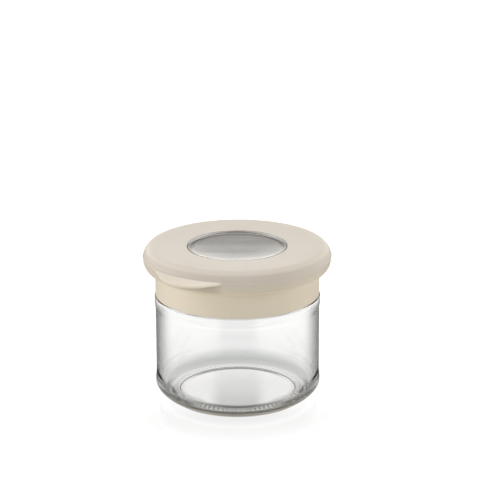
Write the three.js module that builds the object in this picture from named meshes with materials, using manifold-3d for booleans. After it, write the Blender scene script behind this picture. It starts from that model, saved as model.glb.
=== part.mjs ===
// A clear glass storage jar with a press-on plastic lid, which has a pull tab and a round window.
// Millimetres, +Z up. The jar stands on z = 0 with its axis on Z, and its front faces -Y.

import * as THREE from 'three';
import { mergeVertices } from 'three/addons/utils/BufferGeometryUtils.js';
import Module from 'manifold-3d';

// Facets of a full turn, and steps along each curve of an outline.
const TURN_STEPS = 60;
const CURVE_STEPS = 5;
const WELD_DISTANCE = 1e-4;

// Glass jar: a plain panel between a heel bead and a shoulder bead, under a neck for the lid.
const PANEL_RADIUS = 45.7;
const PANEL_BOTTOM = 13.4;
const PANEL_TOP = 52.6;
const BEAD_RISE = 0.45;
const HEEL_BEAD_BOTTOM = 9.4;
const HEEL_BEAD_TOP = 11.4;
const SHOULDER_BEAD_BOTTOM = 54.4;
const SHOULDER_BEAD_TOP = 57.2;
const LEDGE_HEIGHT = 60;
const NECK_RADIUS = 43;
const NECK_TOP = 83.3;
const NECK_FILLET = 0.7;
const GLASS_WALL = 2.6;
const LIP_ROUNDING = GLASS_WALL / 2;

// Heavy base: a ring to stand on, a hollowed underside and a thick floor.
const BEARING_INNER = 32.6;
const BEARING_OUTER = 37;
const HOLLOW_DEPTH = 1.4;
const HOLLOW_FLAT_RADIUS = 30;
const HOLLOW_EDGE = 0.6;
const HEEL_TURN_HEIGHT = 5.3;
const FLOOR_HEIGHT = 4;
const FLOOR_RADIUS = 35;
const FLOOR_CORNER_TOP = 12.6;
const INNER_SHOULDER_BOTTOM = 55.5;
const INNER_SHOULDER_TOP = 61.5;

// Radial grooves pressed into the ring that the jar stands on.
const GROOVE_COUNT = 84;
const GROOVE_WIDTH = 1.3;
const GROOVE_DEPTH = 0.35;
const GROOVE_LENGTH = 6;
const GROOVE_MIDDLE = (BEARING_INNER + BEARING_OUTER) / 2;

// Lid: a thick round-edged top over a skirt that fits outside the neck.
const LID_TOP = 88;
const TOP_DISH = 0.6;
const RIM_RADIUS = 52.2;
const RIM_FLAT_RADIUS = 46.6;
const RIM_EQUATOR = 81.4;
const BELLY_TURN = { radius: 52.2, height: 74.7 };
const SKIRT_RADIUS = 45.64;
const SKIRT_TOP = 73.5;
const SKIRT_BOTTOM = 60.3;
const SKIRT_CORNER = 0.4;
const SKIRT_INNER_RADIUS = 43.4;
const LID_UNDERSIDE = 83.6;

// Window: a clear disc that lies on a ledge in the lid's round hole, just below the top.
const HOLE_RADIUS = 27.9;
const LEDGE_RADIUS = 26.9;
const LEDGE_TOP = 85.2;
const WINDOW_RADIUS = 27.55;
const WINDOW_BOTTOM = 85.5;
const WINDOW_TOP = 86.7;
const WINDOW_FIELD_RADIUS = 25.2;
const WINDOW_FIELD_DEPTH = 0.35;

// Pull tab: a flat tongue with a round nose, on the left of the lid's front.
const TAB_TURN = THREE.MathUtils.degToRad(33);
const TAB_HALF_SPAN = THREE.MathUtils.degToRad(25.8);
const TAB_REACH = 59.6;
const TAB_NOSE_RADIUS = 22.9;
const TAB_EDGE_DISTANCE = 50.2;
const TAB_EDGE_TOP = 81.6;
const TAB_THICKNESS = 1.5;
const TAB_ROOT_RADIUS = 50.5;
const TAB_ROOT_RISE = 1.9;

const CLEAR_GLASS = new THREE.MeshStandardMaterial({
  color: 0xe6ebe8,
  roughness: 0.05,
  metalness: 0,
  transparent: true,
  opacity: 0.35,
});
const CREAM_PLASTIC = new THREE.MeshStandardMaterial({ color: 0xdcd0bb, roughness: 0.45, metalness: 0 });
const CLEAR_PLASTIC = new THREE.MeshStandardMaterial({
  color: 0xdedcd6,
  roughness: 0.1,
  metalness: 0,
  transparent: true,
  opacity: 0.35,
});

const wasm = await Module();
wasm.setup();

// Welds a closed surface's corners, and drops the triangles that shrink to nothing on the axis.
function solidOf(geometry) {
  geometry.deleteAttribute('normal');
  geometry.deleteAttribute('uv');
  const welded = mergeVertices(geometry, WELD_DISTANCE);
  const corners = welded.index.array;
  const kept = [];
  for (let i = 0; i < corners.length; i += 3) {
    const [a, b, c] = corners.slice(i, i + 3);
    if (a !== b && b !== c && c !== a) kept.push(a, b, c);
  }
  return new wasm.Manifold(
    new wasm.Mesh({
      numProp: 3,
      vertProperties: new Float32Array(welded.attributes.position.array),
      triVerts: new Uint32Array(kept),
    }),
  );
}

// Turns an outline of radius and height about the vertical axis.
function turned(outline) {
  const geometry = new THREE.LatheGeometry(outline.getPoints(CURVE_STEPS), TURN_STEPS);
  geometry.rotateX(Math.PI / 2);
  return solidOf(geometry);
}

function namedMesh(name, solid, material) {
  const { vertProperties, triVerts } = solid.getMesh();
  const geometry = new THREE.BufferGeometry();
  geometry.setAttribute('position', new THREE.BufferAttribute(vertProperties, 3));
  geometry.setIndex(new THREE.BufferAttribute(triVerts, 1));
  geometry.computeVertexNormals();
  const mesh = new THREE.Mesh(geometry, material);
  mesh.name = name;
  return mesh;
}

// Outside of the glass from the hollowed underside, by the heel and the beads, up to the lip.
function drawGlassOutside(path) {
  const beadRadius = PANEL_RADIUS + BEAD_RISE;
  path.moveTo(0, HOLLOW_DEPTH);
  path.quadraticCurveTo(HOLLOW_FLAT_RADIUS, HOLLOW_DEPTH, BEARING_INNER - HOLLOW_EDGE, HOLLOW_EDGE);
  path.lineTo(BEARING_INNER, 0);
  path.lineTo(BEARING_OUTER, 0);
  path.quadraticCurveTo(beadRadius, HEEL_TURN_HEIGHT, beadRadius, HEEL_BEAD_BOTTOM);
  path.lineTo(beadRadius, HEEL_BEAD_TOP);
  path.lineTo(PANEL_RADIUS, PANEL_BOTTOM);
  path.lineTo(PANEL_RADIUS, PANEL_TOP);
  path.lineTo(beadRadius, SHOULDER_BEAD_BOTTOM);
  path.lineTo(beadRadius, SHOULDER_BEAD_TOP);
  path.quadraticCurveTo(beadRadius, LEDGE_HEIGHT, NECK_RADIUS + NECK_FILLET, LEDGE_HEIGHT);
  path.lineTo(NECK_RADIUS, LEDGE_HEIGHT + NECK_FILLET);
  path.lineTo(NECK_RADIUS, NECK_TOP - LIP_ROUNDING);
}

// Over the round lip, then down the inside to the middle of the floor.
function drawGlassInside(path) {
  const neckInner = NECK_RADIUS - GLASS_WALL;
  const panelInner = PANEL_RADIUS - GLASS_WALL;
  const shoulderMiddle = (INNER_SHOULDER_BOTTOM + INNER_SHOULDER_TOP) / 2;
  path.absarc(NECK_RADIUS - LIP_ROUNDING, NECK_TOP - LIP_ROUNDING, LIP_ROUNDING, 0, Math.PI, false);
  path.lineTo(neckInner, INNER_SHOULDER_TOP);
  path.bezierCurveTo(neckInner, shoulderMiddle, panelInner, shoulderMiddle, panelInner, INNER_SHOULDER_BOTTOM);
  path.lineTo(panelInner, FLOOR_CORNER_TOP);
  path.quadraticCurveTo(panelInner, FLOOR_HEIGHT, FLOOR_RADIUS, FLOOR_HEIGHT);
  path.lineTo(0, FLOOR_HEIGHT);
}

// A ring of small radial grooves across the bearing ring, with a land at the very front.
function baseGrooves() {
  const pitch = (2 * Math.PI) / GROOVE_COUNT;
  const grooves = [];
  for (let i = 0; i < GROOVE_COUNT; i += 1) {
    const groove = new THREE.BoxGeometry(GROOVE_LENGTH, GROOVE_WIDTH, 2 * GROOVE_DEPTH);
    groove.translate(GROOVE_MIDDLE, 0, 0);
    groove.rotateZ((i + 0.5) * pitch - Math.PI / 2);
    grooves.push(solidOf(groove));
  }
  return grooves.reduce((joined, groove) => joined.add(groove));
}

function glassJar() {
  const outline = new THREE.Path();
  drawGlassOutside(outline);
  drawGlassInside(outline);
  return turned(outline).subtract(baseGrooves());
}

// The lid's section: its dished top, round rim, belly and skirt, then back up the inside to the hole.
function lidBody() {
  const outline = new THREE.Path();
  outline.moveTo(HOLE_RADIUS, LEDGE_TOP);
  outline.lineTo(LEDGE_RADIUS, LEDGE_TOP);
  outline.lineTo(LEDGE_RADIUS, LID_UNDERSIDE);
  outline.lineTo(SKIRT_INNER_RADIUS, LID_UNDERSIDE);
  outline.lineTo(SKIRT_INNER_RADIUS, SKIRT_BOTTOM);
  outline.lineTo(SKIRT_RADIUS - SKIRT_CORNER, SKIRT_BOTTOM);
  outline.lineTo(SKIRT_RADIUS, SKIRT_BOTTOM + SKIRT_CORNER);
  outline.lineTo(SKIRT_RADIUS, SKIRT_TOP);
  outline.quadraticCurveTo(BELLY_TURN.radius, BELLY_TURN.height, RIM_RADIUS, RIM_EQUATOR);
  outline.absellipse(
    RIM_FLAT_RADIUS,
    RIM_EQUATOR,
    RIM_RADIUS - RIM_FLAT_RADIUS,
    LID_TOP - RIM_EQUATOR,
    0,
    Math.PI / 2,
    false,
    0,
  );
  outline.lineTo(HOLE_RADIUS, LID_TOP - TOP_DISH);
  outline.lineTo(HOLE_RADIUS, LEDGE_TOP);
  return turned(outline);
}

// The tab's plan, pointing along +X: two straight edges that lean in to a round nose.
function tabPlan() {
  const noseCentre = TAB_REACH - TAB_NOSE_RADIUS;
  const edgeTurn = Math.acos((TAB_EDGE_DISTANCE - TAB_NOSE_RADIUS) / noseCentre);
  const endRadius = TAB_EDGE_DISTANCE / Math.cos(edgeTurn - TAB_HALF_SPAN);
  const plan = new THREE.Shape();
  plan.absarc(0, 0, TAB_ROOT_RADIUS, TAB_HALF_SPAN, -TAB_HALF_SPAN, true);
  plan.lineTo(endRadius * Math.cos(TAB_HALF_SPAN), -endRadius * Math.sin(TAB_HALF_SPAN));
  plan.absarc(noseCentre, 0, TAB_NOSE_RADIUS, -edgeTurn, edgeTurn, false);
  plan.lineTo(endRadius * Math.cos(TAB_HALF_SPAN), endRadius * Math.sin(TAB_HALF_SPAN));
  plan.closePath();
  return plan;
}

// The tab slopes up from its thin edge to its root inside the rim, on the left of the front.
function pullTab() {
  const geometry = new THREE.ExtrudeGeometry(tabPlan(), {
    depth: TAB_THICKNESS,
    bevelEnabled: false,
    curveSegments: 2 * CURVE_STEPS,
  });
  const corners = geometry.attributes.position;
  for (let i = 0; i < corners.count; i += 1) {
    const isRoot = Math.hypot(corners.getX(i), corners.getY(i)) < RIM_RADIUS;
    if (isRoot && corners.getZ(i) > 0) corners.setZ(i, TAB_THICKNESS + TAB_ROOT_RISE);
  }
  geometry.translate(0, 0, TAB_EDGE_TOP - TAB_THICKNESS);
  geometry.rotateZ(-Math.PI / 2 - TAB_TURN);
  return solidOf(geometry);
}

function lidWindow() {
  const fieldTop = WINDOW_TOP - WINDOW_FIELD_DEPTH;
  const outline = new THREE.Path();
  outline.moveTo(0, WINDOW_BOTTOM);
  outline.lineTo(WINDOW_RADIUS, WINDOW_BOTTOM);
  outline.lineTo(WINDOW_RADIUS, WINDOW_TOP);
  outline.lineTo(WINDOW_FIELD_RADIUS, WINDOW_TOP);
  outline.lineTo(WINDOW_FIELD_RADIUS - WINDOW_FIELD_DEPTH, fieldTop);
  outline.lineTo(0, fieldTop);
  return turned(outline);
}

const jar = new THREE.Group();
jar.add(namedMesh('glass_jar', glassJar(), CLEAR_GLASS));
jar.add(namedMesh('lid', lidBody().add(pullTab()), CREAM_PLASTIC));
jar.add(namedMesh('lid_window', lidWindow(), CLEAR_PLASTIC));

export default jar;
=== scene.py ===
"""A low clear glass jar with a cream plastic lid: its finished surfaces, a pale floor and soft studio light.

Outlines are drawn in millimetres of radius and height, and become metres when a mesh is made. Materials and
lights are in metres. +Z is up and the front is -Y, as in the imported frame.
"""

import math

import bpy
import numpy as np
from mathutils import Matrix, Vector


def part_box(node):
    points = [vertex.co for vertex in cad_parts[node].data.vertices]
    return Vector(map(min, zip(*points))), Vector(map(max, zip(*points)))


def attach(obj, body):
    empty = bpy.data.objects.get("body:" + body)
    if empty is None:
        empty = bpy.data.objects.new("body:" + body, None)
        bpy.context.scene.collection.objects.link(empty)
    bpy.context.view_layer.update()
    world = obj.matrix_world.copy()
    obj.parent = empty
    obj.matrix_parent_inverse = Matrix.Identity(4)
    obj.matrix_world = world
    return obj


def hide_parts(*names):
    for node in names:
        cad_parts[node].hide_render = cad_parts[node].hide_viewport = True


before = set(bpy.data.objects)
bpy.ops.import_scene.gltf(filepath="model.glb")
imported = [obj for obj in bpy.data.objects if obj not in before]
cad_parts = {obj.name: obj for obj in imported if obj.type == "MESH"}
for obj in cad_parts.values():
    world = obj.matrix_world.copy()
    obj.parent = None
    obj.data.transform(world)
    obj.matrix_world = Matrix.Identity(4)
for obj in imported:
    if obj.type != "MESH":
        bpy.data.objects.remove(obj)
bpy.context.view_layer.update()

MM = 0.001

# Sizes that the frame gives. The skirt drops a little below its solid, to close the gap over the glass.
_, jar_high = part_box("glass_jar")
lid_low, lid_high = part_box("lid")
window_low, window_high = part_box("lid_window")
SKIRT_DROP = 0.22
HEEL_RADIUS = jar_high.x / MM
NECK_TOP = jar_high.z / MM
RIM_RADIUS = lid_high.x / MM
LID_TOP = lid_high.z / MM
SKIRT_BOTTOM = lid_low.z / MM - SKIRT_DROP
WINDOW_RADIUS = window_high.x / MM
WINDOW_BOTTOM = window_low.z / MM
WINDOW_TOP = window_high.z / MM

# Glass jar. An ease is the distance from a corner at which its rounding starts.
BEAD_RISE = 0.45
PANEL_RADIUS = HEEL_RADIUS - BEAD_RISE
HEEL_TURN_HEIGHT = 5.3
HEEL_CURVE_SHARE = 0.95
HEEL_BEAD = (9.4, 11.2)
HEEL_BEAD_EASE = 1.6
PANEL_SPAN = (14.6, 52.6)
PANEL_FOOT_EASE = 3
SHOULDER_BEAD = (55.2, 58.3)
SHOULDER_EASE = 0.8
LEDGE_HEIGHT = 60
NECK_RADIUS = 43
NECK_FOOT_EASE = 0.7
WALL = 2.6
LIP_OUTER_EASE = 0.55 * WALL
LIP_INNER_EASE = 0.4 * WALL
INNER_SHOULDER = (55.5, 61.5)
INNER_SHOULDER_EASE = 1.4
FLOOR_HEIGHT = 4
FLOOR_RADIUS = 34
FLOOR_CORNER_TOP = 10.2
HOLLOW_DEPTH = 0.5
HOLLOW_FLAT_RADIUS = 32.4
HOLLOW_EASE = 0.25
BEARING = (33.1, 37)
BEARING_EASE = 0.4
GROOVES = 84
GROOVE_STEPS = 7
GROOVE_DEPTH = 0.12
GROOVE_REACH = (31.9, 38.4)

# Lid. The outline is a loop that closes on the underside, and its straight runs end a lead before a curve.
TOP_DISH = 0.6
RIM_FLAT_RADIUS = 46.6
RIM_EQUATOR = 81.4
RIM_STEPS = 24
BELLY_TURN = (52.2, 74.7)
BELLY_START = 0.04
BELLY_STEPS = 18
SKIRT_RADIUS = 45.64
SKIRT_TOP = 73.5
SKIRT_INNER_RADIUS = 43.4
SKIRT_OUTER_EASE = 0.5
SKIRT_INNER_EASE = 0.3
CURVE_LEAD = 0.4
LID_UNDERSIDE = 83.6
UNDERSIDE_EASE = 0.8
HOLE_RADIUS = 27.9
HOLE_EASE = 0.5
LEDGE_RADIUS = 26.9
LEDGE_TOP = 85.2
LEDGE_EASE = 0.3
LOOP_START_RADIUS = LEDGE_RADIUS + 4
LOOP_END_RADIUS = LEDGE_RADIUS + 3
BEAD_HEIGHT = 82.0
BEAD_PROUD = 0.22
BEAD_WIDTH = 0.35
ROUND_STEPS = 300

# Pull tab, 33 degrees to the left of the front.
TAB_TURN = math.radians(-90 - 33)
TAB_HALF_SPAN = math.radians(25.8)
TAB_END_RAMP = math.radians(0.8)
TAB_REACH = 59.6
TAB_NOSE_RADIUS = 22.9
TAB_EDGE_DISTANCE = 50.2
TAB_EDGE = (80.1, 81.6)
TAB_EDGE_EASE = 0.5
TAB_EDGE_POWER = 0.6
TAB_END_LIFT = 1.4
TAB_STEPS = 72
TAB_END_STEPS = 12
CREASE_TURN = math.radians(16.3)
UNDER_CREASE = 0.91
BAND_UNDER_STEPS = 10
BAND_OVER_STEPS = 21

# Window.
WINDOW_FIELD_RADIUS = 24.8
WINDOW_FIELD_DEPTH = 0.15
WINDOW_FIELD_EDGE = WINDOW_FIELD_RADIUS - 1
WINDOW_FIELD_LAST_ROW = WINDOW_FIELD_RADIUS - 1.2
WINDOW_DISH = 0.6
WINDOW_RING_DROP = 0.12
WINDOW_LOWER_EASE = 0.25
WINDOW_UPPER_EASE = 0.2
WINDOW_SLOPE_EASE = (2.2, 0.8)
WINDOW_FIELD_STEPS = 24
WINDOW_ROUND_STEPS = 240

# Glass, plastic and light: colours and strengths.
CLEAR = (1.0, 1.0, 1.0)
BLACK = (0.0, 0.0, 0.0)
GLASS_IOR = 1.52
# Heel tone: partly the greener grey of thick glass, partly painted shade.
GLASS_HEEL_TINT_AND_SHADE = (0.77, 0.79, 0.775)
# Painted shade: glass seen edge on is darkened towards this grey.
GLASS_EDGE_PAINTED_SHADE = (0.2, 0.2, 0.195)
# Painted shade on the ring that the jar stands on.
GLASS_FOOT_PAINTED_SHADE = (0.1, 0.105, 0.09)
GLASS_BODY = (0.27, 0.28, 0.235)
GLASS_DENSITY = 16
# Painted light: the top is less yellow as if sheened, the skirt yellower as if lit warm from below. Each pair
# drifts at random.
CREAM_TOP_PAINTED_SHEEN = ((0.775, 0.716, 0.636), (0.795, 0.736, 0.66))
CREAM_SKIRT_PAINTED_WARM_LIGHT = ((0.772, 0.715, 0.595), (0.792, 0.735, 0.618))
# Painted light: the thin tab is lighter, most at its end nearest the front.
CREAM_TAB_PAINTED_LIGHT = ((0.82, 0.75, 0.65), (0.95, 0.87, 0.76))
# Painted shade in the hole round the window.
CREAM_WINDOW_GAP_SHADE = (0.56, 0.515, 0.46)
CREAM_SCATTER = (1.0, 0.8, 0.6)
RIM_SHADE = 0.13
SHELTER_SHADE = 0.16
WINDOW_IOR = 1.49
WINDOW_MIDDLE = (0.82, 0.82, 0.82)
WINDOW_RING = (0.75, 0.75, 0.74)
ROOM_LIGHT = (1.0, 0.975, 0.94)
BELOW_LIGHT = (1.0, 0.93, 0.82)
BELOW_LEVEL = 0.14
STEEP_LEVEL = 0.95

# Floor.
FLOOR_REACH = 4.0
FLOOR_DROP = 0.00005
FLOOR_BODY = (0.02, 0.02, 0.02)
FLOOR_MIRROR = 0.2
FLOOR_ROUGHNESS = 0.1
FLOOR_IOR = 1.7

# Softboxes: name, place, size and power.
LIGHT_AIM = (0, 0, 0.05)
SOFTBOXES = (
    ("left_box", (-0.72, -0.6, 0.34), (0.45, 0.7), 3.9),
    ("right_box", (0.85, -0.3, 0.33), (0.5, 0.7), 2.7),
    ("top_box", (0, 0.15, 1.1), (1.0, 1.0), 1.2),
)

# Camera, fitted to the photograph's frame of 480 by 480 pixels.
FRAME_PIXELS = 480
FOCAL_PIXELS = 1900
SENSOR = 36
CAMERA_PLACE = (0.00163, -1.0037, 0.4047)
CAMERA_PITCH = math.radians(17.39)
CAMERA_ROLL = -0.005

# Light bounces.
LIGHT_BOUNCES = 24
GLASS_BOUNCES = 20


# Outlines of radius and height

def quadratic(start, turn, end, t):
    """Quadratic curve: (1-t)^2 start + 2t(1-t) turn + t^2 end."""
    t = t[:, None]
    return (1 - t) ** 2 * np.array(start) + 2 * t * (1 - t) * np.array(turn) + t**2 * np.array(end)


def toward(place, other, distance):
    """The point at that distance from place on the straight line to other."""
    way = np.subtract(other, place)
    return place + way * distance / np.hypot(*way)


def held(points, hold=0.3):
    """Adds a point near both ends of each long straight stretch, so that its shading stays straight."""
    step = np.diff(points, axis=0)
    length = np.hypot(*step.T)
    long = np.flatnonzero(length > 4 * hold)
    inset = step[long] * (hold / length[long])[:, None]
    extra = np.concatenate([points[long] + inset, points[long + 1] - inset])
    return np.insert(points, np.concatenate([long + 1, long + 1]), extra, axis=0)


def eased(corners):
    """Outline through corners of (radius, height, ease).

    An eased corner becomes a quadratic curve that leaves its two sides at the distance ease from it, or at
    two distances where ease is a pair. The first and last corners are plain ends.
    """
    spots = [np.array(corner[:2], float) for corner in corners]
    runs = [spots[:1]]
    for before, spot, after, corner in zip(spots, spots[1:], spots[2:], corners[1:]):
        lead, trail = np.broadcast_to(corner[2], 2)
        t = np.linspace(0, 1, 5 + int(max(lead, trail)))
        runs.append(quadratic(toward(spot, before, lead), spot, toward(spot, after, trail), t))
    runs.append(spots[-1:])
    return held(np.concatenate(runs))


def smooth(value):
    """0 below 0, 1 above 1, and 3v^2 - 2v^3 between."""
    value = np.clip(value, 0, 1)
    return value * value * (3 - 2 * value)


# Meshes from grids

def grid_faces(rows, columns, wrap_rows):
    """Quads of a grid whose columns wrap round, and whose rows do too if wrap_rows."""
    row = np.arange(rows if wrap_rows else rows - 1)[:, None]
    column = np.arange(columns)[None, :]
    next_row, next_column = (row + 1) % rows, (column + 1) % columns
    corners = [
        row * columns + column,
        row * columns + next_column,
        next_row * columns + next_column,
        next_row * columns + column,
    ]
    return np.stack(np.broadcast_arrays(*corners), axis=-1).reshape(-1, 4)


def turned_mesh(name, radius, height, angle, poles):
    """Surface of (radius cos a, radius sin a, height) on a grid of outline rows and angle columns.

    With poles, the first and last rows lie on the axis, so each shrinks to one vertex with a fan of
    triangles. Without them the outline is a loop.
    """
    angle = np.broadcast_to(angle, radius.shape)
    places = np.stack([radius * np.cos(angle), radius * np.sin(angle), height], axis=-1) * MM
    rows, columns = radius.shape
    faces = []
    if poles:
        places = places[1:-1]
        rows -= 2
    vertices = places.reshape(-1, 3)
    if poles:
        here = np.arange(columns)
        after = (here + 1) % columns
        first, last = rows * columns, rows * columns + 1
        top = (rows - 1) * columns
        faces += np.stack([after, here, np.full(columns, first)], axis=-1).tolist()
        faces += np.stack([top + here, top + after, np.full(columns, last)], axis=-1).tolist()
        ends = np.array([[0, 0, height[0, 0]], [0, 0, height[-1, 0]]]) * MM
        vertices = np.concatenate([vertices, ends])
    faces += grid_faces(rows, columns, wrap_rows=not poles).tolist()
    mesh = bpy.data.meshes.new(name)
    mesh.from_pydata(vertices.tolist(), [], faces)
    mesh.polygons.foreach_set("use_smooth", np.ones(len(faces), bool))
    mesh.update()
    return mesh


# Glass jar

def jar_outline():
    """From the underside's middle, up the outside, over the lip and down to the floor's middle."""
    shoulder_middle = sum(INNER_SHOULDER) / 2
    neck_inner = NECK_RADIUS - WALL
    panel_inner = PANEL_RADIUS - WALL
    heel_way = math.hypot(HEEL_RADIUS - BEARING[1], HEEL_TURN_HEIGHT)
    heel_ease = (HEEL_CURVE_SHARE * heel_way, HEEL_BEAD[0] - HEEL_TURN_HEIGHT)
    floor_ease = (FLOOR_CORNER_TOP - FLOOR_HEIGHT, panel_inner - FLOOR_RADIUS)
    return eased([
        (0, HOLLOW_DEPTH, 0),
        (HOLLOW_FLAT_RADIUS, HOLLOW_DEPTH, HOLLOW_EASE),
        (BEARING[0], 0, HOLLOW_EASE),
        (BEARING[1], 0, BEARING_EASE),
        (HEEL_RADIUS, HEEL_TURN_HEIGHT, heel_ease),
        (HEEL_RADIUS, HEEL_BEAD[1], HEEL_BEAD_EASE),
        (PANEL_RADIUS, PANEL_SPAN[0], (HEEL_BEAD_EASE, PANEL_FOOT_EASE)),
        (PANEL_RADIUS, PANEL_SPAN[1], SHOULDER_EASE),
        (HEEL_RADIUS, SHOULDER_BEAD[0], SHOULDER_EASE),
        (HEEL_RADIUS, LEDGE_HEIGHT, LEDGE_HEIGHT - SHOULDER_BEAD[1]),
        (NECK_RADIUS, LEDGE_HEIGHT, NECK_FOOT_EASE),
        (NECK_RADIUS, NECK_TOP, LIP_OUTER_EASE),
        (neck_inner, NECK_TOP, LIP_INNER_EASE),
        (neck_inner, shoulder_middle, shoulder_middle - INNER_SHOULDER[0]),
        (panel_inner, shoulder_middle, INNER_SHOULDER_EASE),
        (panel_inner, FLOOR_HEIGHT, floor_ease),
        (0, FLOOR_HEIGHT, 0),
    ])


def jar_glass():
    """The outline turned about the axis, with the ring that it stands on raised into small radial grooves.

    The ring rises by depth * sin^2(grooves * a / 2), where a is the angle from the front, and the rise fades
    to nothing at the ring's two edges.
    """
    outline = jar_outline()
    angle = np.linspace(0, 2 * math.pi, GROOVES * GROOVE_STEPS, endpoint=False)[None, :]
    radius, height = np.broadcast_arrays(outline[:, :1], outline[:, 1:], angle)[:2]
    inner, outer = GROOVE_REACH
    across = np.clip((radius - inner) / (outer - inner), 0, 1)
    on_ring = np.sin(math.pi * across) ** 0.5 * (height < 0.5 * HOLLOW_DEPTH)
    lift = GROOVE_DEPTH * on_ring * np.sin(GROOVES * (angle + math.pi / 2) / 2) ** 2
    return turned_mesh("jar_glass", radius, height + lift, angle, poles=True)


# Lid

def belly(t):
    """The lid's belly: the quadratic curve from the skirt's top to the rim's widest line."""
    return quadratic((SKIRT_RADIUS, SKIRT_TOP), BELLY_TURN, (RIM_RADIUS, RIM_EQUATOR), t)


def rim(turn):
    """The rim's round shoulder: a quarter of an ellipse, from its widest line up to the flat top."""
    wide = RIM_FLAT_RADIUS + (RIM_RADIUS - RIM_FLAT_RADIUS) * np.cos(turn)
    return np.stack([wide, RIM_EQUATOR + (LID_TOP - RIM_EQUATOR) * np.sin(turn)], axis=-1)


def rim_band():
    """The stretch of belly and rim that the tab grows from, with a fine bead round it.

    The bead stands out by proud * exp(-(height off the bead / width)^2).
    """
    under = belly(np.linspace(UNDER_CREASE, 1, BAND_UNDER_STEPS))
    over = rim(np.linspace(0, CREASE_TURN, BAND_OVER_STEPS))[1:]
    band = np.concatenate([under, over])
    band[:, 0] += BEAD_PROUD * np.exp(-(((band[:, 1] - BEAD_HEIGHT) / BEAD_WIDTH) ** 2))
    return band


def tab_edge_radius(turn):
    """How far the tab's edge is from the axis: a round nose in the middle, then a straight edge each side."""
    nose_centre = TAB_REACH - TAB_NOSE_RADIUS
    edge_turn = math.acos((TAB_EDGE_DISTANCE - TAB_NOSE_RADIUS) / nose_centre)
    straight = TAB_EDGE_DISTANCE / np.cos(edge_turn - np.abs(turn))
    across = np.clip(nose_centre * np.sin(turn), -TAB_NOSE_RADIUS, TAB_NOSE_RADIUS)
    nose = nose_centre * np.cos(turn) + np.sqrt(TAB_NOSE_RADIUS**2 - across**2)
    nose_end = math.atan2(
        TAB_NOSE_RADIUS * math.sin(edge_turn),
        nose_centre + TAB_NOSE_RADIUS * math.cos(edge_turn),
    )
    return np.where(np.abs(turn) < nose_end, nose, straight)


def tab_section(band, edge_radius, lift):
    """The tab's section at each angle, its edge lifted, with as many points as the band that it grows from.

    A third of them run out along its underside, a third go round its edge, a squarish half ellipse, and the
    rest run back along its top to the crease.
    """
    share = np.linspace(0, 3, len(band))[:, None]
    low, high = (height + lift for height in TAB_EDGE)
    root = edge_radius - TAB_EDGE_EASE
    round_turn = np.radians(np.clip(share - 1, 0, 1) * 180 - 90)
    squared = np.sign(np.sin(round_turn)) * np.abs(np.sin(round_turn)) ** TAB_EDGE_POWER
    edge = root + TAB_EDGE_EASE * np.cos(round_turn) ** TAB_EDGE_POWER
    edge_height = (low + high) / 2 + (high - low) / 2 * squared
    out, back = np.clip(share, 0, 1), np.clip(share - 2, 0, 1)
    radius = np.where(share < 1, band[0, 0] + out * (root - band[0, 0]), edge)
    radius = np.where(share > 2, root + back * (band[-1, 0] - root), radius)
    height = np.where(share < 1, band[0, 1] + out * (low - band[0, 1]), edge_height)
    height = np.where(share > 2, high + back * (band[-1, 1] - high), height)
    return radius, np.broadcast_to(height, radius.shape)


def lid_angles():
    """Angles round the lid, measured from the tab's middle and closest together at the tab's two ends."""
    before, after = TAB_HALF_SPAN - TAB_END_RAMP, TAB_HALF_SPAN + TAB_END_RAMP
    tab = np.linspace(-before, before, TAB_STEPS, endpoint=False)
    end = np.linspace(before, after, TAB_END_STEPS, endpoint=False)
    rest = np.linspace(after, 2 * math.pi - after, ROUND_STEPS, endpoint=False)
    start = np.linspace(-after, -before, TAB_END_STEPS, endpoint=False) + 2 * math.pi
    return np.concatenate([tab, end, rest, start])


def tab_band(turn):
    """Radius and height of the rim's band at each angle, pushed out into the tab over the tab's span.

    The band is rim + share * (tab - rim), where share is 1 along the tab and falls smoothly to 0 at its two
    blunt ends. The tab's edge rises towards them.
    """
    band = rim_band()
    off_middle = (turn + math.pi) % (2 * math.pi) - math.pi
    share = smooth((TAB_HALF_SPAN + TAB_END_RAMP / 2 - np.abs(off_middle)) / TAB_END_RAMP)
    on_tab = np.clip(off_middle, -TAB_HALF_SPAN, TAB_HALF_SPAN)
    lift = TAB_END_LIFT * smooth(np.abs(on_tab) / TAB_HALF_SPAN) ** 2
    tab_radius, tab_height = tab_section(band, tab_edge_radius(on_tab)[None, :], lift[None, :])
    radius = band[:, :1] + share * (tab_radius - band[:, :1])
    height = band[:, 1:] + share * (tab_height - band[:, 1:])
    return radius, height


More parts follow.
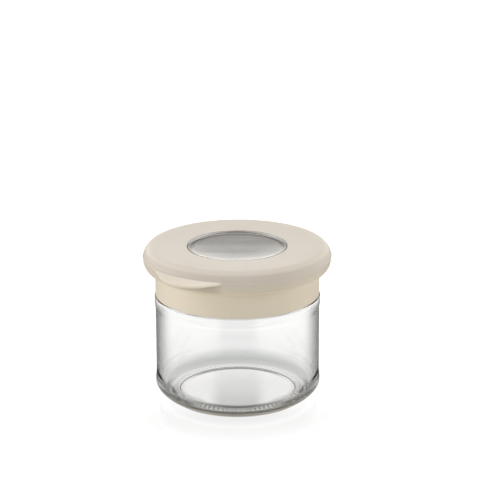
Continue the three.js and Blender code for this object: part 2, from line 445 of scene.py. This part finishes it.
def lid_moulding():
    """The lid's outline turned about the axis, with the band of its rim that carries the tab."""
    below = eased([
        (LOOP_START_RADIUS, LID_UNDERSIDE, 0),
        (SKIRT_INNER_RADIUS, LID_UNDERSIDE, UNDERSIDE_EASE),
        (SKIRT_INNER_RADIUS, SKIRT_BOTTOM, SKIRT_INNER_EASE),
        (SKIRT_RADIUS, SKIRT_BOTTOM, SKIRT_OUTER_EASE),
        (SKIRT_RADIUS, SKIRT_TOP - CURVE_LEAD, 0),
    ])
    under_band = belly(np.linspace(BELLY_START, UNDER_CREASE, BELLY_STEPS, endpoint=False))
    over_band = rim(np.linspace(CREASE_TURN, math.pi / 2, RIM_STEPS))[1:]
    top = eased([
        (RIM_FLAT_RADIUS - CURVE_LEAD, LID_TOP, 0),
        (HOLE_RADIUS, LID_TOP - TOP_DISH, HOLE_EASE),
        (HOLE_RADIUS, LEDGE_TOP, LEDGE_EASE),
        (LEDGE_RADIUS, LEDGE_TOP, LEDGE_EASE),
        (LEDGE_RADIUS, LID_UNDERSIDE, LEDGE_EASE),
        (LOOP_END_RADIUS, LID_UNDERSIDE, 0),
    ])
    turn = lid_angles()
    before = np.concatenate([below, under_band])[:, :, None] * np.ones(len(turn))
    after = np.concatenate([over_band, top])[:, :, None] * np.ones(len(turn))
    band_radius, band_height = tab_band(turn)
    radius = np.concatenate([before[:, 0], band_radius, after[:, 0]])
    height = np.concatenate([before[:, 1], band_height, after[:, 1]])
    return turned_mesh("lid_moulding", radius, height, turn + TAB_TURN, poles=False)


# Window

def window_disc():
    """A clear disc turned about the axis, with a sloping outer edge and a thin, shallow dish inside it.

    Inside the edge both faces sink by dish * (1 - (radius / field radius)^3).
    """
    ring_top = LID_TOP - TOP_DISH - WINDOW_RING_DROP
    field_top = WINDOW_TOP - WINDOW_FIELD_DEPTH
    ring = eased([
        (WINDOW_FIELD_EDGE, WINDOW_BOTTOM, 0),
        (WINDOW_RADIUS, WINDOW_BOTTOM, WINDOW_LOWER_EASE),
        (WINDOW_RADIUS, ring_top, WINDOW_UPPER_EASE),
        (WINDOW_FIELD_RADIUS, field_top, WINDOW_SLOPE_EASE),
        (WINDOW_FIELD_EDGE, field_top, 0),
    ])
    inside = np.linspace(0, WINDOW_FIELD_LAST_ROW, WINDOW_FIELD_STEPS)
    under = np.stack([inside, np.full_like(inside, WINDOW_BOTTOM)], axis=-1)
    over = np.stack([inside[::-1], np.full_like(inside, field_top)], axis=-1)
    outline = np.concatenate([under, ring, over])
    outline[:, 1] -= WINDOW_DISH * np.clip(1 - (outline[:, 0] / WINDOW_FIELD_RADIUS) ** 3, 0, 1)
    angle = np.linspace(0, 2 * math.pi, WINDOW_ROUND_STEPS, endpoint=False)[None, :]
    radius, height = np.broadcast_arrays(outline[:, :1], outline[:, 1:], angle)[:2]
    return turned_mesh("window_disc", radius, height, angle, poles=True)


# Shader sums

def ranged(tree, value, source, target):
    """The value moved smoothly from the source range to the target range."""
    node = tree.nodes.new("ShaderNodeMapRange")
    node.interpolation_type = "SMOOTHSTEP"
    for name, number in zip(("From Min", "From Max", "To Min", "To Max"), (*source, *target)):
        node.inputs[name].default_value = number
    tree.links.new(value, node.inputs["Value"])
    return node.outputs["Result"]


def reckoned(tree, operation, first, second=0.0):
    """A sum on one or two values, each a socket or a number."""
    node = tree.nodes.new("ShaderNodeMath")
    node.operation = operation
    for socket, value in zip(node.inputs, (first, second)):
        if isinstance(value, (int, float)):
            socket.default_value = value
        else:
            tree.links.new(value, socket)
    return node.outputs["Value"]


def product(tree, first, *others):
    """The values multiplied."""
    for other in others:
        first = reckoned(tree, "MULTIPLY", first, other)
    return first


def total(tree, first, *others):
    """The values added up."""
    for other in others:
        first = reckoned(tree, "ADD", first, other)
    return first


def rest_of(tree, share):
    """1 - share."""
    return reckoned(tree, "SUBTRACT", 1.0, share)


def between(tree, share, first, second):
    """The number between first and second by share."""
    return total(tree, product(tree, first, rest_of(tree, share)), product(tree, second, share))


def banded(tree, value, rise, fall):
    """1 between the two ranges of the value, smoothly up over rise and down over fall, and 0 outside them."""
    return product(tree, ranged(tree, value, rise, (0, 1)), ranged(tree, value, fall, (1, 0)))


def mixed(tree, share, first, second):
    """The colour between first and second by share, each a socket or three numbers."""
    node = tree.nodes.new("ShaderNodeMix")
    node.data_type = "RGBA"
    colours = [socket for socket in node.inputs if socket.type == "RGBA"]
    for socket, colour in zip(colours, (first, second)):
        if isinstance(colour, tuple):
            socket.default_value = (*colour, 1)
        else:
            tree.links.new(colour, socket)
    tree.links.new(share, node.inputs["Factor"])
    return next(socket for socket in node.outputs if socket.type == "RGBA")


# Shader places

def coordinates(tree, kind="Object"):
    """X, Y and Z of that kind of coordinates."""
    place = tree.nodes.new("ShaderNodeTexCoord")
    split = tree.nodes.new("ShaderNodeSeparateXYZ")
    tree.links.new(place.outputs[kind], split.inputs["Vector"])
    return split.outputs


def off_axis(tree):
    """Distance from the jar's axis, on Object coordinates."""
    place = tree.nodes.new("ShaderNodeTexCoord")
    flat = tree.nodes.new("ShaderNodeVectorMath")
    flat.operation = "MULTIPLY"
    flat.inputs[1].default_value = (1, 1, 0)
    away = tree.nodes.new("ShaderNodeVectorMath")
    away.operation = "LENGTH"
    tree.links.new(place.outputs["Object"], flat.inputs[0])
    tree.links.new(flat.outputs["Vector"], away.inputs[0])
    return away.outputs["Value"]


def tab_side(tree):
    """1 over the angles that the pull tab spans and 0 away from them, on Object coordinates."""
    place = tree.nodes.new("ShaderNodeTexCoord")
    way = tree.nodes.new("ShaderNodeVectorMath")
    way.operation = "DOT_PRODUCT"
    way.inputs[1].default_value = (math.cos(TAB_TURN), math.sin(TAB_TURN), 0)
    tree.links.new(place.outputs["Object"], way.inputs[0])
    along = reckoned(tree, "DIVIDE", way.outputs["Value"], off_axis(tree))
    return ranged(tree, along, (math.cos(TAB_HALF_SPAN), math.cos(0.7 * TAB_HALF_SPAN)), (0, 1))


def noise(tree, scale, stretch=(1, 1, 1), detail=3):
    """Noise on Object coordinates, with its own stretch along each axis."""
    place = tree.nodes.new("ShaderNodeTexCoord")
    mapping = tree.nodes.new("ShaderNodeMapping")
    texture = tree.nodes.new("ShaderNodeTexNoise")
    mapping.inputs["Scale"].default_value = stretch
    texture.inputs["Scale"].default_value = scale
    texture.inputs["Detail"].default_value = detail
    tree.links.new(place.outputs["Object"], mapping.inputs["Vector"])
    tree.links.new(mapping.outputs["Vector"], texture.inputs["Vector"])
    return texture.outputs["Fac"]


# Materials

def new_material(name):
    """A material with its node tree and its main shader."""
    material = bpy.data.materials.new(name)
    material.use_nodes = True
    return material, material.node_tree, material.node_tree.nodes["Principled BSDF"]


def bumped(tree, shader, height, strength, distance):
    """Raises the shading by the height."""
    node = tree.nodes.new("ShaderNodeBump")
    node.inputs["Strength"].default_value = strength
    node.inputs["Distance"].default_value = distance
    tree.links.new(height, node.inputs["Height"])
    tree.links.new(node.outputs["Normal"], shader.inputs["Normal"])


def painted_foot_shade(tree):
    """Painted shade on the ring that the jar stands on, strongest at the front, with a row of clearer dots.

    A dot lies where sin(grooves * angle) is high, so there is one to each groove. The dots stand in for light
    that the grooves let through.
    """
    across, depth, height = coordinates(tree)
    distance = off_axis(tree)
    turn = reckoned(tree, "ARCTAN2", depth, across)
    wave = reckoned(tree, "SINE", product(tree, turn, float(GROOVES)))
    dots = product(
        tree,
        banded(tree, distance, (0.0336, 0.0342), (0.0354, 0.0362)),
        ranged(tree, wave, (0.0, 0.7), (0, 1)),
    )
    return product(
        tree,
        banded(tree, distance, (0.0330, 0.0340), (0.0370, 0.0382)),
        ranged(tree, depth, (-0.030, 0.030), (0.95, 0.1)),
        ranged(tree, dots, (0, 1), (1, 0.12)),
        ranged(tree, height, (0.002, 0.003), (1, 0)),
    )


def clear_glass():
    """Clear pressed glass, faintly wavy, with painted shade.

    The heel is greyer, partly the tone of thick glass and partly painted shade. Painted shade darkens the
    glass
    where it is seen edge on: fully on the outer wall, and weakly on the inner faces, the heel and the
    shoulder.
    """
    material, tree, shader = new_material("clear_glass")
    shader.inputs["Roughness"].default_value = 0.0
    shader.inputs["IOR"].default_value = GLASS_IOR
    shader.inputs["Transmission Weight"].default_value = 1.0
    distance = off_axis(tree)
    height = coordinates(tree)["Z"]
    facing = tree.nodes.new("ShaderNodeLayerWeight")
    facing.inputs["Blend"].default_value = 0.5
    # Painted shade where the glass is seen edge on, standing in for dark surroundings seen through it.
    edge = product(
        tree,
        ranged(tree, facing.outputs["Facing"], (0.49, 0.76), (0, 1)),
        ranged(tree, distance, (0.0434, 0.0445), (0.4, 1)),
        ranged(tree, height, (0.012, 0.020), (0.15, 1)),
        ranged(tree, height, (0.0565, 0.0585), (1, 0.1)),
    )
    # The heel's tint is partly the greener grey of thick glass and partly painted shade.
    heel = product(
        tree,
        ranged(tree, height, (0.0075, 0.0115), (1, 0)),
        ranged(tree, distance, (0.0375, 0.0395), (0, 1)),
    )
    tone = mixed(tree, heel, CLEAR, GLASS_HEEL_TINT_AND_SHADE)
    tone = mixed(tree, edge, tone, GLASS_EDGE_PAINTED_SHADE)
    # Painted shade on the ring that the jar stands on, broken by clearer dots.
    tone = mixed(tree, painted_foot_shade(tree), tone, GLASS_FOOT_PAINTED_SHADE)
    tree.links.new(tone, shader.inputs["Base Color"])
    waves = noise(tree, 45, stretch=(1, 1, 0.15), detail=2)
    bumped(tree, shader, waves, strength=0.12, distance=0.001)
    body = tree.nodes.new("ShaderNodeVolumeAbsorption")
    body.inputs["Color"].default_value = (*GLASS_BODY, 1)
    body.inputs["Density"].default_value = GLASS_DENSITY
    tree.links.new(body.outputs["Volume"], tree.nodes["Material Output"].inputs["Volume"])
    return material


def cream_plastic():
    """Satin cream plastic: a fine moulded grain and a very slight drift of tone, with painted light and
    shade.

    The top is painted less yellow as if sheened, and the skirt yellower as if lit warm from below. The thin
    tab is painted lighter, most at its end nearest the front. Painted shade darkens the rim's widest line,
    the stretch under the tab and the hole round the window.
    """
    material, tree, shader = new_material("cream_plastic")
    distance = off_axis(tree)
    across, _, height = coordinates(tree)
    drift = ranged(tree, noise(tree, 40), (0.35, 0.65), (0, 1))
    # Painted light: less yellow above the rim as if sheened, yellower lower down as if lit warm from below.
    low = ranged(tree, height, (0.073, 0.084), (1, 0))
    cream = mixed(tree, low, mixed(tree, drift, *CREAM_TOP_PAINTED_SHEEN), mixed(tree, drift, *CREAM_SKIRT_PAINTED_WARM_LIGHT))
    # Painted light on the thin tab, strongest at its end nearest the front.
    painted_tab_light = mixed(tree, ranged(tree, across, (-0.05, -0.015), (0, 1)), *CREAM_TAB_PAINTED_LIGHT)
    on_tab = ranged(tree, distance, (0.0527, 0.0534), (0, 1))
    cream = mixed(tree, on_tab, cream, painted_tab_light)
    widest = banded(tree, distance, (0.0500, 0.0512), (0.0526, 0.0531))
    under_tab = banded(tree, height, (0.0740, 0.0770), (0.0809, 0.0815))
    shade = total(
        tree,
        product(tree, widest, RIM_SHADE),
        product(tree, tab_side(tree), under_tab, SHELTER_SHADE),
    )
    cream = mixed(tree, shade, cream, BLACK)
    # Painted shade in the hole and gap round the window.
    window_gap_shade = ranged(tree, distance, (0.02795, 0.0282), (1, 0))
    tree.links.new(mixed(tree, window_gap_shade, cream, CREAM_WINDOW_GAP_SHADE), shader.inputs["Base Color"])
    tree.links.new(ranged(tree, noise(tree, 900), (0.3, 0.7), (0.4, 0.5)), shader.inputs["Roughness"])
    bumped(tree, shader, noise(tree, 2600, detail=2), strength=0.06, distance=0.0002)
    shader.inputs["Subsurface Weight"].default_value = 0.3
    shader.inputs["Subsurface Radius"].default_value = CREAM_SCATTER
    shader.inputs["Subsurface Scale"].default_value = 0.0015
    return material


def clear_plastic():
    """Clear plastic with faint flow streaks, a little grey in the middle and in the sloping edge."""
    material, tree, shader = new_material("clear_plastic")
    shader.inputs["IOR"].default_value = WINDOW_IOR
    shader.inputs["Transmission Weight"].default_value = 1.0
    distance = off_axis(tree)
    streak = noise(tree, 60, stretch=(0.25, 2.0, 1), detail=4)
    tone = mixed(tree, ranged(tree, distance, (0.008, 0.025), (0, 1)), WINDOW_MIDDLE, CLEAR)
    tone = mixed(tree, ranged(tree, streak, (0.35, 0.65), (0, 0.08)), tone, BLACK)
    tone = mixed(tree, ranged(tree, distance, (0.0252, 0.0258), (0, 1)), tone, WINDOW_RING)
    tree.links.new(tone, shader.inputs["Base Color"])
    tree.links.new(ranged(tree, streak, (0.3, 0.7), (0.0, 0.05)), shader.inputs["Roughness"])
    bumped(tree, shader, streak, strength=0.15, distance=0.0004)
    return material


def bent_glow(tree):
    """The floor's glow for rays that the glass has bent: 1 less these shades.

    The disc under the jar is shaded most at the front and little left and right of its middle. Thin arcs
    follow the base's back and front edges, and the toe of the foot. A ring lies beside the jar, and a faint
    strip behind it. Far out the floor gains a little.
    """
    across, depth, _ = coordinates(tree)
    aside = reckoned(tree, "ABSOLUTE", across)
    distance = off_axis(tree)
    paler = product(
        tree,
        ranged(tree, aside, (0.008, 0.018), (0, 0.95)),
        ranged(tree, distance, (0.029, 0.032), (1, 0)),
    )
    disc = product(tree, ranged(tree, depth, (-0.035, 0.03), (0.37, 0.1)), rest_of(tree, paler))
    back_line = product(
        tree,
        banded(tree, distance, (0.0300, 0.0312), (0.0328, 0.0336)),
        ranged(tree, depth, (0.012, 0.028), (0, 0.8)),
    )
    front_line = product(
        tree,
        banded(tree, distance, (0.0270, 0.0290), (0.0328, 0.0336)),
        ranged(tree, depth, (-0.026, -0.012), (0.5, 0)),
    )
    under = product(
        tree,
        ranged(tree, distance, (0.036, 0.046), (1, 0)),
        total(tree, disc, back_line, front_line),
    )
    toe = product(
        tree,
        banded(tree, distance, (0.035, 0.038), (0.038, 0.042)),
        ranged(tree, depth, (-0.03, -0.015), (0.3, 0)),
    )
    beside = product(
        tree,
        banded(tree, distance, (0.037, 0.041), (0.048, 0.075)),
        ranged(tree, depth, (-0.010, 0.022), (0.88, 0.25)),
        ranged(tree, depth, (-0.042, -0.028), (0.55, 1)),
    )
    behind = product(
        tree,
        ranged(tree, aside, (0.008, 0.016), (0.1, 0)),
        ranged(tree, depth, (0.05, 0.09), (0, 1)),
    )
    gain = ranged(tree, distance, (0.085, 0.11), (0, -0.05))
    return rest_of(tree, total(tree, under, toe, beside, behind, gain))


def open_glow(tree):
    """The floor's glow for rays straight from the camera: 1, with a soft shade close to the jar's front."""
    near = ranged(tree, off_axis(tree), (0.046, 0.095), (0.16, 0))
    in_front = ranged(tree, coordinates(tree)["Y"], (-0.045, -0.005), (1, 0.25))
    return rest_of(tree, product(tree, near, in_front))


def pale_floor():
    """White glowing floor that mirrors the jar faintly, and that looks shaded through the glass."""
    material, tree, shader = new_material("pale_floor")
    straight = tree.nodes.new("ShaderNodeLightPath").outputs["Is Camera Ray"]
    glow = between(tree, straight, bent_glow(tree), open_glow(tree))
    tree.links.new(glow, shader.inputs["Emission Strength"])
    tree.links.new(product(tree, straight, FLOOR_MIRROR), shader.inputs["Specular IOR Level"])
    shader.inputs["Emission Color"].default_value = (*CLEAR, 1)
    shader.inputs["Base Color"].default_value = (*FLOOR_BODY, 1)
    shader.inputs["Roughness"].default_value = FLOOR_ROUGHNESS
    shader.inputs["IOR"].default_value = FLOOR_IOR
    return material


# Scene

def add_piece(mesh, material, node):
    """Puts a finished surface on the jar in place of its CAD node."""
    piece = bpy.data.objects.new(mesh.name, mesh)
    bpy.context.scene.collection.objects.link(piece)
    mesh.materials.append(material)
    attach(piece, "root")
    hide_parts(node)


def add_floor():
    """A wide square floor, just under the jar, hidden from mirrored and scattered rays."""
    corners = [
        (-FLOOR_REACH, -FLOOR_REACH, -FLOOR_DROP),
        (FLOOR_REACH, -FLOOR_REACH, -FLOOR_DROP),
        (FLOOR_REACH, FLOOR_REACH, -FLOOR_DROP),
        (-FLOOR_REACH, FLOOR_REACH, -FLOOR_DROP),
    ]
    mesh = bpy.data.meshes.new("floor")
    mesh.from_pydata(corners, [], [(0, 1, 2, 3)])
    mesh.materials.append(pale_floor())
    floor = bpy.data.objects.new("floor", mesh)
    floor.visible_glossy = False
    floor.visible_diffuse = False
    bpy.context.scene.collection.objects.link(floor)


def add_softbox(name, place, size, power):
    """A rectangular area light at place, facing the jar, that shows in no mirror and through no glass."""
    light = bpy.data.lights.new(name, "AREA")
    light.shape = "RECTANGLE"
    light.size, light.size_y = size
    light.energy = power
    lamp = bpy.data.objects.new(name, light)
    lamp.location = place
    lamp.visible_camera = False
    lamp.visible_glossy = False
    lamp.visible_transmission = False
    way = Vector(LIGHT_AIM) - Vector(place)
    lamp.rotation_euler = way.to_track_quat("-Z", "Y").to_euler()
    bpy.context.scene.collection.objects.link(lamp)


def light_room():
    """Room light by direction: bright behind the jar and near the horizon, dim on the camera's side.

    Only mirrored and scattered rays pass the floor. They meet a warmer light there: a panel on the left and
    on the right, dim between them, and bright steeply down.
    """
    world = bpy.data.worlds.new("studio")
    world.use_nodes = True
    bpy.context.scene.world = world
    tree = world.node_tree
    across, depth, rise = coordinates(tree, "Generated")
    front = product(tree, depth, -1.0)
    around = reckoned(tree, "ABSOLUTE", reckoned(tree, "ARCTAN2", across, front))
    panels = product(
        tree,
        ranged(tree, around, (0.3, 0.9), (0, 0.72)),
        ranged(tree, around, (1.7, 2.1), (1, 0)),
    )
    steep = ranged(tree, rise, (-0.65, -0.42), (1, 0))
    below = between(tree, steep, total(tree, panels, BELOW_LEVEL), STEEP_LEVEL)
    room = product(
        tree,
        ranged(tree, depth, (-0.8, 0.6), (0.31, 1.0)),
        ranged(tree, rise, (0.19, 0.38), (1.65, 0.77)),
    )
    above = ranged(tree, rise, (-0.02, 0.02), (0, 1))
    background = tree.nodes["Background"]
    tree.links.new(mixed(tree, above, BELOW_LIGHT, ROOM_LIGHT), background.inputs["Color"])
    tree.links.new(between(tree, above, below, room), background.inputs["Strength"])


def add_camera():
    """The camera at the photograph's viewing angle."""
    camera = bpy.data.cameras.new("camera")
    camera.sensor_width = SENSOR
    camera.lens = FOCAL_PIXELS / FRAME_PIXELS * SENSOR
    holder = bpy.data.objects.new("camera", camera)
    holder.location = CAMERA_PLACE
    holder.rotation_mode = "ZXY"
    holder.rotation_euler = (math.pi / 2 - CAMERA_PITCH, 0, CAMERA_ROLL)
    bpy.context.scene.collection.objects.link(holder)
    bpy.context.scene.camera = holder


def set_picture():
    """Plain display colours, and enough light bounces for glass behind glass."""
    scene = bpy.context.scene
    scene.view_settings.view_transform = "Standard"
    scene.cycles.max_bounces = LIGHT_BOUNCES
    scene.cycles.transmission_bounces = GLASS_BOUNCES


add_camera()
add_piece(jar_glass(), clear_glass(), "glass_jar")
add_piece(lid_moulding(), cream_plastic(), "lid")
add_piece(window_disc(), clear_plastic(), "lid_window")
add_floor()
for softbox in SOFTBOXES:
    add_softbox(*softbox)
light_room()
set_picture()
